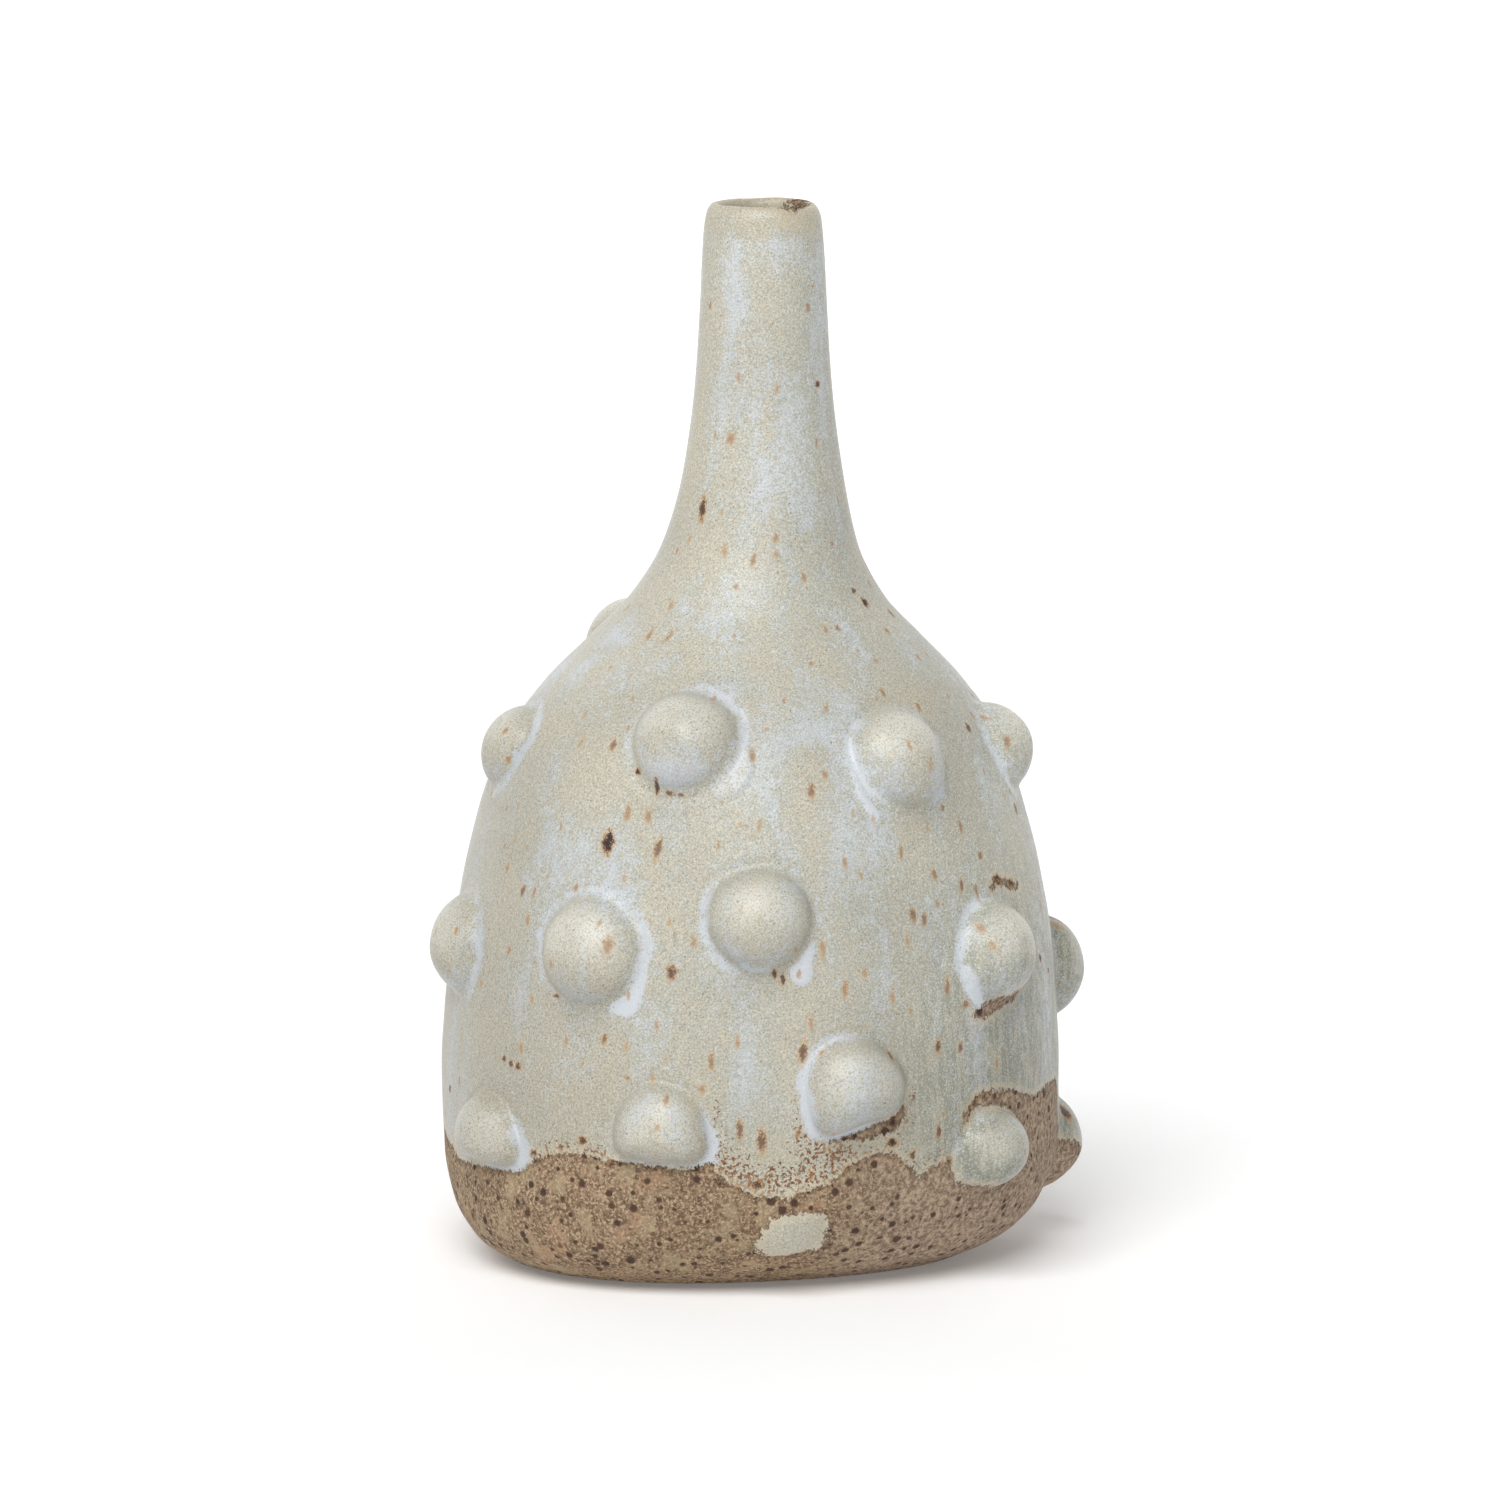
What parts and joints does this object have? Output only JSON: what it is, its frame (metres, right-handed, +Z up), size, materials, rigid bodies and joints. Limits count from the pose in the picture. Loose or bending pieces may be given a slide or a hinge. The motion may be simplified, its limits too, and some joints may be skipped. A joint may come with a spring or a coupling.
{
  "type": "vase",
  "caption": "Hand-built stoneware bottle vase: round belly studded with clay bobbles, tall narrow neck, speckled pale glaze over a bare clay foot.",
  "frame": {"origin": "on the resting plane, inside the foot, under the belly's axis", "axes": "+Z up the neck, -Y the side shown in the reference view, +X to the right in that view"},
  "size_m": [0.1351, 0.1401, 0.216],
  "materials": {
    "glaze": "satin pale grey-green speckled glaze, pooled bluish white round the bobbles, with rust-brown iron spots",
    "bare_clay": "matt bare speckled tan stoneware"
  },
  "bodies": {
    "root": {"base_slab": "bare_clay", "belly_wall": "glaze", "neck": "glaze", "bobble_upper_01": "glaze", "bobble_row1_01": "glaze", "bobble_row1_02": "glaze", "bobble_row1_03": "glaze", "bobble_row1_04": "glaze", "bobble_row1_05": "glaze", "bobble_row1_06": "glaze", "bobble_row1_07": "glaze", "bobble_row2_01": "glaze", "bobble_row2_02": "glaze", "bobble_row2_03": "glaze", "bobble_row2_04": "glaze", "bobble_row2_05": "glaze", "bobble_row2_06": "glaze", "bobble_row2_07": "glaze", "bobble_row2_08": "glaze", "bobble_row3_01": "glaze", "bobble_row3_02": "glaze", "bobble_row3_03": "glaze", "bobble_row3_04": "glaze", "bobble_row3_05": "glaze", "bobble_row3_06": "glaze", "bobble_row3_07": "glaze", "bobble_row3_08": "glaze", "bobble_row3_09": "glaze", "bobble_foot_01": "bare_clay"}
  },
  "joints": []
}
